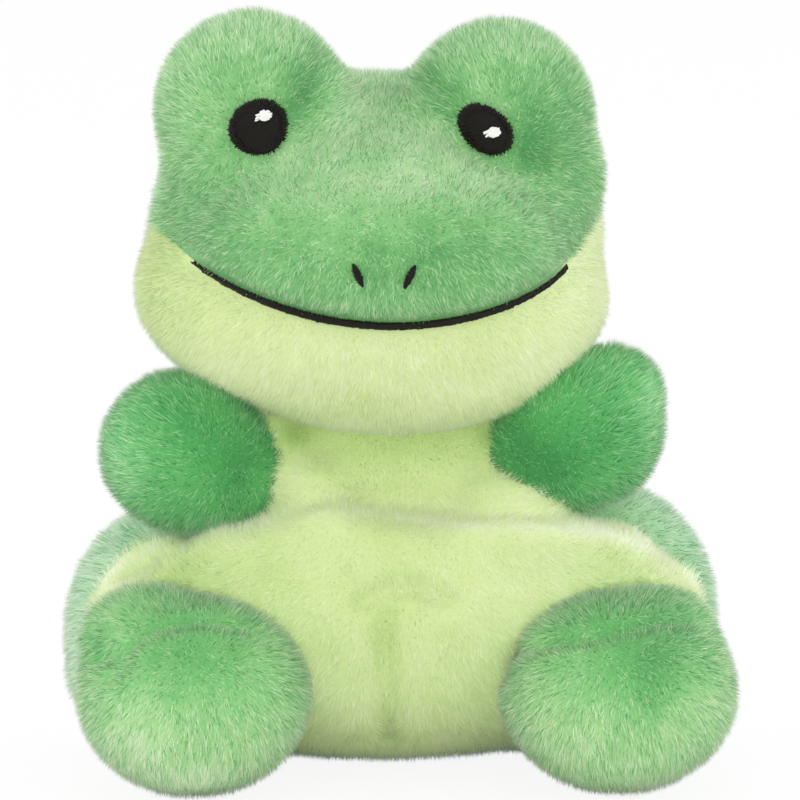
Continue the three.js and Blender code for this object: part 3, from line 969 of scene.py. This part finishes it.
for name, node, slot, bodyName, voxel in (
    ("head_fibre", "head_stuffing", "stuffing", "head", 2),
    ("neck_fibre", "neck_stuffing", "stuffing", "neck", 1.5),
    ("body_fibre", "body_stuffing", "stuffing", "torso", 2),
    ("seat_bag", "seat_pellets", "pellets", "torso", 2),
    ("arm_left_fibre", "arm_left_stuffing", "stuffing", "arm_left", 1.2),
    ("arm_right_fibre", "arm_right_stuffing", "stuffing", "arm_right", 1.2),
    ("foot_left_bag", "foot_left_pellets", "pellets", "foot_left", 1.4),
    ("foot_right_bag", "foot_right_pellets", "pellets", "foot_right", 1.4),
):
    addFilling(name, node, slot, bodyName, voxel)
print("fillings made")


# Stitched face

stitch = {"ribs": 5, "taper": 0.55}


# Stitches as thin tubes along paths of equally many points
def tubes(name, paths, radius, slot, node):
    ribs = stitch["ribs"]
    count, steps = len(paths), len(paths[0])
    points = np.array(paths)
    along = np.gradient(points, axis=1)
    along /= np.maximum(np.linalg.norm(along, axis=2, keepdims=True), 1e-12)
    across = np.cross(along, np.array([0, 1.0, 0]))
    across /= np.maximum(np.linalg.norm(across, axis=2, keepdims=True), 1e-12)
    out = np.cross(across, along)
    angles = np.arange(ribs) * 2 * math.pi / ribs
    share = np.linspace(-1, 1, steps)
    taper = (1 - stitch["taper"] * np.abs(share) ** 6)[None, :, None, None] * radius * mm
    ring = (across[:, :, None] * np.cos(angles)[None, None, :, None]
            + out[:, :, None] * np.sin(angles)[None, None, :, None]) * taper
    verts = (points[:, :, None] + ring).reshape(-1, 3)
    faces = []
    for first in range(count):
        base = first * steps * ribs
        for step in range(steps - 1):
            low, high = base + step * ribs, base + (step + 1) * ribs
            faces += [(low + i, low + (i + 1) % ribs, high + (i + 1) % ribs, high + i) for i in range(ribs)]
        faces.append(tuple(base + i for i in reversed(range(ribs))))
        faces.append(tuple(base + (steps - 1) * ribs + i for i in range(ribs)))
    mesh = bpy.data.meshes.new(name)
    mesh.from_pydata(verts.tolist(), [], faces)
    mesh.polygons.foreach_set("use_smooth", np.ones(len(mesh.polygons), bool))
    piece = newThing(name, mesh)
    dress(piece, slot, "head")
    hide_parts(node)


eye = {"slope": 24, "pitch": 0.17, "radius": 0.13, "rim": 0.9, "middle": 1.7, "ragged": 0.25,
       "padPitch": 1.6, "padDrop": 0.25, "padRagged": 0.1,
       "teeth": 104, "toothIn": (0.7, 0.84), "toothOut": (0.98, 1.1), "toothLift": 0.12,
       "left": {"shift": (0.1, -1), "size": (9.7, 7.2), "tilt": -38},
       "right": {"shift": (0.5, -1.5), "size": (9.9, 8.9), "tilt": 30}}
glint = {"size": (2.4, 1.7), "tilt": 14, "slope": 18, "pitch": 0.19, "radius": 0.15, "over": 0.55, "ragged": 0.12,
         "tails": 4, "left": (1.2, -0.2), "right": (0.9, 2.1)}
nostril = {"length": 4.1, "width": 1.3, "radius": 0.13, "lift": 1.5, "bow": 0.7, "lean": 24, "drop": 0.9,
           "stitches": 22, "ragged": (0.85, 1.15), "slant": (0.1, 0.35)}
mouth = {"thick": 1.6, "tip": 0.7, "pitch": 0.19, "radius": 0.15, "lift": 1.9, "bow": 0.8, "slant": 58,
         "ragged": (0.88, 1.12)}


def nodeMiddle(node):
    low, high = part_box(node)
    return (low[0] + high[0]) / 2, (low[2] + high[2]) / 2


# A thread from one place of the front view to another, laid over the plush at a given height
def laid(start, end, steps, heightAt, bow=0):
    path = []
    for share in np.linspace(0, 1, steps):
        x = start[0] + (end[0] - start[0]) * share
        z = start[1] + (end[1] - start[1]) * share
        rise = (heightAt(x, z) - bow * abs(2 * share - 1) ** 4) * mm
        hit, normal = onFrontEven(headTree, x, z)
        for _ in range(2):
            if hit is not None:
                hit, normal = onFrontEven(headTree, x - normal.x * rise, z - normal.z * rise)
        if hit is None:
            return None
        path.append(hit + normal * rise)
    return [tuple(p) for p in path]


def laidAll(spans, steps, heightAt, bow=0):
    paths = [laid(start, end, steps, heightAt, bow) for start, end in spans]
    return [path for path in paths if path]


def turned(x, z, degrees):
    angle = math.radians(degrees)
    return np.array([x * math.cos(angle) - z * math.sin(angle), x * math.sin(angle) + z * math.cos(angle)])


# 0 at the middle of an eye and 1 at its rim
def eyeShare(word, x, z):
    across, up = turned(x - eyeMiddles[word][0], z - eyeMiddles[word][1], -eye[word]["tilt"])
    return np.hypot(across / (eye[word]["size"][0] * mm / 2), up / (eye[word]["size"][1] * mm / 2))


def eyeHeight(word):
    def heightAt(x, z):
        return eye["rim"] + (eye["middle"] - eye["rim"]) * max(0, 1 - eyeShare(word, x, z) ** 2) ** 0.5
    return heightAt


# Rows of stitches side by side over an ellipse
def satin(middle, size, tilt, slope, pitch, heightAt, rng, ragged):
    along, across = turned(1, 0, slope), turned(0, 1, slope)
    half = np.array(size) / 2
    alongShare, acrossShare = turned(*along, -tilt) / half, turned(*across, -tilt) / half
    reach = max(half)
    paths = []
    for offset in np.arange(-reach + pitch / 2, reach, pitch):
        # Where the line at this offset meets the ellipse
        a = alongShare @ alongShare
        b = 2 * alongShare @ (acrossShare * offset)
        c = (acrossShare * offset) @ (acrossShare * offset) - 1
        inner = b * b - 4 * a * c
        if inner <= 0:
            continue
        low, high = (-b - math.sqrt(inner)) / (2 * a), (-b + math.sqrt(inner)) / (2 * a)
        low += rng.uniform(-ragged, ragged)
        high += rng.uniform(-ragged, ragged)
        start = np.array(middle) + (across * offset + along * low) * mm
        end = np.array(middle) + (across * offset + along * high) * mm
        path = laid(start, end, 7, lambda x, z, more=rng.uniform(-0.06, 0.06): heightAt(x, z) + more)
        if path:
            paths.append(path)
    return paths


eyeMiddles = {}
for word in ("left", "right"):
    x, z = nodeMiddle(f"eye_{word}")
    eyeMiddles[word] = (x + eye[word]["shift"][0] * mm, z + eye[word]["shift"][1] * mm)


def addEye(word, seed):
    rng = np.random.default_rng(seed)
    middle = eyeMiddles[word]
    heightAt, size, tilt = eyeHeight(word), eye[word]["size"], eye[word]["tilt"]
    padding = satin(middle, size, tilt, eye["slope"] + 90, eye["pitch"] * eye["padPitch"],
                    lambda x, z: heightAt(x, z) - eye["padDrop"], rng, eye["padRagged"])
    over = satin(middle, size, tilt, eye["slope"], eye["pitch"], heightAt, rng, eye["ragged"])
    teeth = []
    for angle in np.linspace(0, 2 * math.pi, eye["teeth"], endpoint=False):
        angle += rng.uniform(-0.03, 0.03)
        inner, outer = rng.uniform(*eye["toothIn"]), rng.uniform(*eye["toothOut"])
        rim = turned(math.cos(angle) * size[0], math.sin(angle) * size[1], tilt) * mm / 2
        teeth.append((np.array(middle) + rim * inner, np.array(middle) + rim * outer))
    teeth = laidAll(teeth, 7, lambda x, z: heightAt(x, z) + eye["toothLift"])
    tubes(f"eye_{word}_stitches", padding + over + teeth, eye["radius"], "black_thread", f"eye_{word}")
    spot = (middle[0] + glint[word][0] * mm, middle[1] + glint[word][1] * mm)
    glintPaths = satin(spot, glint["size"], glint["tilt"], glint["slope"], glint["pitch"],
                       lambda x, z: heightAt(x, z) + glint["over"], rng, glint["ragged"])
    tails = []
    for tail in range(glint["tails"]):
        start = np.array(spot) + np.array([-0.9 + rng.uniform(-0.2, 0.2), -0.6 + 0.3 * tail]) * mm
        end = start + np.array([-rng.uniform(0.5, 0.9), -rng.uniform(0.2, 0.4)]) * mm
        tails.append((start, end))
    glintPaths += laidAll(tails, 7, lambda x, z: heightAt(x, z) + glint["over"] - 0.05)
    tubes(f"glint_{word}_stitches", glintPaths, glint["radius"], "white_thread", f"glint_{word}")


def addNostril(word, side):
    rng = np.random.default_rng(30 + side)
    middle = np.array(nodeMiddle(f"nostril_{word}")) - np.array([0, nostril["drop"] * mm])
    lean = math.radians(side * nostril["lean"])
    direction = np.array([math.sin(lean), math.cos(lean)])
    cross = np.array([direction[1], -direction[0]])
    spans = []
    for share in np.linspace(-1, 1, nostril["stitches"]):
        place = middle + direction * share * nostril["length"] / 2 * mm
        half = nostril["width"] / 2 * mm * math.sqrt(max(0.08, 1 - share ** 2)) * rng.uniform(*nostril["ragged"])
        slant = direction * rng.uniform(*nostril["slant"]) * half
        spans.append((place - cross * half - slant, place + cross * half + slant))
    paths = laidAll(spans, 6, lambda x, z: nostril["lift"], nostril["bow"])
    tubes(f"nostril_{word}_stitches", paths, nostril["radius"], "black_thread", f"nostril_{word}")


def addMouth():
    rng = np.random.default_rng(41)
    xs = np.linspace(-smile["halfWidth"], smile["halfWidth"], 600)
    line = np.array([headPoint(x, smileAt(x)) for x in xs])
    steps = np.linalg.norm(np.diff(line, axis=0), axis=1)
    run = np.concatenate([[0], np.cumsum(steps)])
    spans = []
    for at in np.arange(0, run[-1], mouth["pitch"] * mm):
        place, ahead = (np.array([np.interp(spot, run, axis) for axis in line.T]) for spot in (at, at + 0.5 * mm))
        ahead -= place
        if np.linalg.norm(ahead) < 1e-6:
            continue
        ahead /= np.linalg.norm(ahead)
        share = abs(2 * at / run[-1] - 1)
        thick = mouth["thick"] + (mouth["tip"] - mouth["thick"]) * share ** 4
        half = thick / 2 * mm * rng.uniform(*mouth["ragged"])
        cross = turned(*ahead, mouth["slant"])
        spans.append((place - cross * half, place + cross * half))
    paths = laidAll(spans, 6, lambda x, z: mouth["lift"], mouth["bow"])
    tubes("mouth_stitches", paths, mouth["radius"], "black_thread", "mouth")
    return line


addEye("left", 21)
addEye("right", 22)
addNostril("left", 1)
addNostril("right", -1)
mouthLine = addMouth()
print("face stitched")


# Pile: fibres on each panel, combed, clumped, and cut short round the stitching, with few on the underside

fibre = {"perSquare": 10, "width": 0.085, "clump": 0.9, "gather": 0.2, "sunk": 0.1, "buried": 3.5, "bare": 0.12,
         "underside": 0.75, "swirl": 0.35, "swirlLength": 9, "lengths": (0.82, 1.12), "widths": (0.75, 1.2),
         "tuftLength": (0.86, 0.2), "tuftTone": 0.1, "tipPaintedLight": 0.12, "grain": 0.06, "tones": (0.02, 0.97),
         "soft": 0.3}
leaning = {"waves": 6, "length": 6, "stray": 9, "tuft": 8, "most": 84}
usual = {"dense": 1, "lean": 30, "stray": 0.3}
# Fibres with a painted glint and fibres with painted shade, as in clefts: their share of all, and their change
# of tone
glinting = {"share": 0.12, "root": 0.16, "tip": 0.76, "wider": 1.5}
cleftShade = {"share": 0.11, "root": -0.34, "tip": -0.5, "wider": 1.5}


# Places spread evenly over a form, where a test keeps them, with the normals there
def rootsOn(form, keep, perSquare, rng):
    mesh = form.data
    mesh.calc_loop_triangles()
    corners = np.array([triangle.vertices for triangle in mesh.loop_triangles])
    coords, normals = coordsOf(mesh), normalsOf(mesh)
    a, b, c = (coords[corners[:, i]] for i in range(3))
    area = np.linalg.norm(np.cross(b - a, c - a), axis=1) / 2
    count = int(area.sum() / mm ** 2 * perSquare)
    chosen = rng.choice(len(corners), count, p=area / area.sum())
    u, v = rng.random((2, count))
    over = u + v > 1
    u[over], v[over] = 1 - u[over], 1 - v[over]
    shares = np.stack([1 - u - v, u, v], 1)
    points = np.einsum("ij,ijk->ik", shares, coords[corners[chosen]])
    bent = unit(np.einsum("ij,ijk->ik", shares, normals[corners[chosen]]))
    kept = keep(points)
    return points[kept], bent[kept]


# The clump each point belongs to: its centre, and a draw from 0 to 1 that its fibres share
def cells(points, size, seed):
    wobble = np.stack([mottle(points, size * 5, seed + i) for i in range(3)], 1) * size * mm * 0.8
    moved = points + wobble
    key = np.floor(moved / (size * mm)).astype(np.int64)
    mixed = (key[:, 0] * 73856093) ^ (key[:, 1] * 19349663) ^ (key[:, 2] * 83492791) ^ seed
    draws = [((mixed * salt) % 1000003) / 1000003 for salt in (2654435761, 40503, 69069, 1013904223)]
    centre = (key + 0.5 + 0.5 * (np.stack(draws[:3], 1) - 0.5)) * size * mm - wobble
    return centre, draws[3]


def growPile(name, coat, side, seed):
    look = {**usual, **coats[coat]}
    rng = np.random.default_rng(seed)

    def keep(points):
        inside = within(points, coat)
        return inside & ((points[:, 0] > look["middle"]) == (side > 0)) if side else inside

    roots, normals = rootsOn(look["form"], keep, fibre["perSquare"] * look["dense"], rng)
    live = np.ones(len(roots), bool)
    for other, distance in solids.items():
        if other != look["body"]:
            live &= distance(roots) > -fibre["buried"] * mm
    cut = look["cut"](roots) if "cut" in look else np.ones(len(roots))
    live &= cut > fibre["bare"]
    onFloor = roots[:, 2] < (pile["floor"] + 0.05) * mm
    live &= ~(onFloor & (rng.random(len(roots)) < fibre["underside"]))
    roots, normals, cut = roots[live], normals[live], cut[live]
    count = len(roots)

    comb = look["comb"](roots)
    comb = unit(comb - normals * dot(comb, normals)[:, None])
    across = np.cross(normals, comb)
    swirl = fibre["swirl"] * mottle(roots, fibre["swirlLength"], seed) + rng.normal(0, look["stray"], count)
    comb = comb * np.cos(swirl)[:, None] + across * np.sin(swirl)[:, None]

    centre, luck = cells(roots, fibre["clump"], seed)
    toClump = centre - roots
    toClump -= normals * dot(toClump, normals)[:, None]
    lean = (look["lean"] + leaning["waves"] * mottle(roots, leaning["length"], seed + 5)
            + rng.normal(0, leaning["stray"], count) + leaning["tuft"] * (luck - 0.5))
    lean = np.radians(np.clip(lean, 0, leaning["most"]))
    least, more = fibre["tuftLength"]
    length = look["length"] * mm * cut * (least + more * luck) * rng.uniform(*fibre["lengths"], count)

    start = roots - normals * fibre["sunk"] * mm
    way = normals * np.cos(lean)[:, None] + comb * np.sin(lean)[:, None]
    end = start + way * length[:, None] + toClump * fibre["gather"]
    end[:, 2] = np.maximum(end[:, 2], 0.05 * mm * (1 + rng.random(count)))
    start[:, 2] = np.maximum(start[:, 2], 0.2 * mm)

    way = unit(end - start)
    flat = unit(np.cross(way, normals))
    up = np.cross(way, flat)
    special = rng.random(count)
    # Some fibres take a painted glint, some painted shade as in clefts
    kinds = [(glinting, special < glinting["share"]), (cleftShade, special > 1 - cleftShade["share"])]
    wider = 1 + sum(kind["wider"] * chosen for kind, chosen in kinds)
    thin = fibre["width"] * mm / 2 * rng.uniform(*fibre["widths"], count) * wider
    roll = rng.uniform(0, 2 * math.pi, count)
    corners, shine = [], []
    for third in range(3):
        angle = roll + third * 2 * math.pi / 3
        out = flat * np.cos(angle)[:, None] + up * np.sin(angle)[:, None]
        corners.append(start + out * thin[:, None])
        shine.append(unit(normals * fibre["soft"] + out * (1 - fibre["soft"])))
    verts = np.stack(corners + [end], 1)
    shine = np.stack(shine + [normals], 1)

    tone = look["tone"](roots, normals) + fibre["tuftTone"] * (luck - 0.5) + rng.normal(0, fibre["grain"], count)
    contrast = calm.get(look["slot"], 1)
    change = {at: contrast * sum(kind[at] * chosen for kind, chosen in kinds) for at in ("root", "tip")}
    # The tips are lighter by a painted highlight
    tone = np.stack([tone + change["root"], tone + fibre["tipPaintedLight"] + change["tip"]], 1)
    makeFibres(name, verts, np.clip(tone, *fibre["tones"]), shine, look["slot"], look["body"])


def makeFibres(name, verts, tone, shine, slot, bodyName):
    count = len(verts)
    mesh = bpy.data.meshes.new(name)
    mesh.vertices.add(count * 4)
    mesh.loops.add(count * 9)
    mesh.polygons.add(count * 3)
    mesh.vertices.foreach_set("co", verts.astype(np.float32).ravel())
    base = np.arange(count)[:, None] * 4
    mesh.loops.foreach_set("vertex_index", (base + np.array([0, 1, 3, 1, 2, 3, 2, 0, 3])).astype(np.int32).ravel())
    mesh.polygons.foreach_set("loop_start", (np.arange(count * 3) * 3).astype(np.int32))
    mesh.polygons.foreach_set("use_smooth", np.ones(count * 3, bool))
    mesh.update(calc_edges=True)
    light = mesh.attributes.new("custom_normal", "FLOAT_VECTOR", "POINT")
    light.data.foreach_set("vector", shine.astype(np.float32).ravel())
    layer = mesh.uv_layers.new(name="OFBake")
    across = tone[:, [0, 0, 1] * 3] + 0.006 * np.array([-1, 1, 0] * 3)
    along = np.broadcast_to(np.array([0.02, 0.02, 0.98] * 3), across.shape)
    layer.uv.foreach_set("vector", np.stack([across, along], 2).astype(np.float32).ravel())
    piece = newThing(name, mesh)
    piece.visible_shadow = False  # the thin pile lets light through
    piece.visible_diffuse = False
    dress(piece, slot, bodyName)
    print(name, count, "fibres")


for coat, look in coats.items():
    if "middle" in look:
        growPile(f"{coat}_pile_left", coat, 1, look["seed"])
        growPile(f"{coat}_pile_right", coat, -1, look["seed"] + 1)
    else:
        growPile(f"{coat}_pile", coat, 0, look["seed"])
for form in (headForm, bodyForm, *limbForms.values()):
    bpy.data.objects.remove(form)
print("pile grown")


# Floor, backdrop and lights

studio = {"floor": 0.9, "seen": 0.9, "world": 0.8, "lamp": 0.9, "aim": 0.06}
lamps = {
    "key": ((-0.4, -1.25, 0.35), 4),
    "fill": ((0.7, -1.1, 0.15), 3),
    "top": ((0, -0.15, 1.1), 1.5),
    "side_left": ((1.25, 0.35, 0.45), 6.5),
    "side_right": ((-1.25, 0.35, 0.45), 6.5),
}


# 1 for what the camera sees straight, in gloss or through glass
def seenRays(sheet):
    kinds = ("Camera", "Glossy", "Transmission")
    camera, gloss, through = (sheet.add("LightPath", {}, {}, f"Is {kind} Ray") for kind in kinds)
    return camera + gloss + through


def addFloor():
    sheet = newSheet("floor")
    pale = sheet.add("BsdfDiffuse", {}, {"Color": (studio["floor"],) * 3 + (1,)})
    bright = sheet.add("Emission", {}, {"Color": (1, 1, 1, 1), "Strength": 1})
    shader = sheet.add("MixShader", {}, {0: seenRays(sheet) * studio["seen"], 1: pale, 2: bright})
    deselectAll()
    bpy.ops.mesh.primitive_plane_add(size=6, location=(0, 0, 0))
    floor = bpy.context.active_object
    floor.name = "floor"
    floor.data.materials.append(sheet.finish(shader))


def addLamp(name, place, power):
    data = bpy.data.lights.new(name, "AREA")
    data.shape = "SQUARE"
    data.size = studio["lamp"]
    data.energy = power
    light = newThing(name, data)
    light.location = place
    aim = Vector((0, 0, studio["aim"])) - Vector(place)
    light.rotation_euler = aim.to_track_quat("-Z", "Y").to_euler()


def addWorld():
    world = bpy.data.worlds.new("studio")
    bpy.context.scene.world = world
    sheet = Sheet(world)
    soft = sheet.add("Background", {}, {"Color": (1, 1, 1, 1), "Strength": studio["world"]})
    white = sheet.add("Background", {}, {"Color": (1, 1, 1, 1), "Strength": 1})
    shader = sheet.add("MixShader", {}, {0: seenRays(sheet), 1: soft, 2: white})
    sheet.finish(shader, "OutputWorld")


addFloor()
for name, (place, power) in lamps.items():
    addLamp(name, place, power)
addWorld()
bpy.context.scene.view_settings.view_transform = "Standard"
print("studio lit")
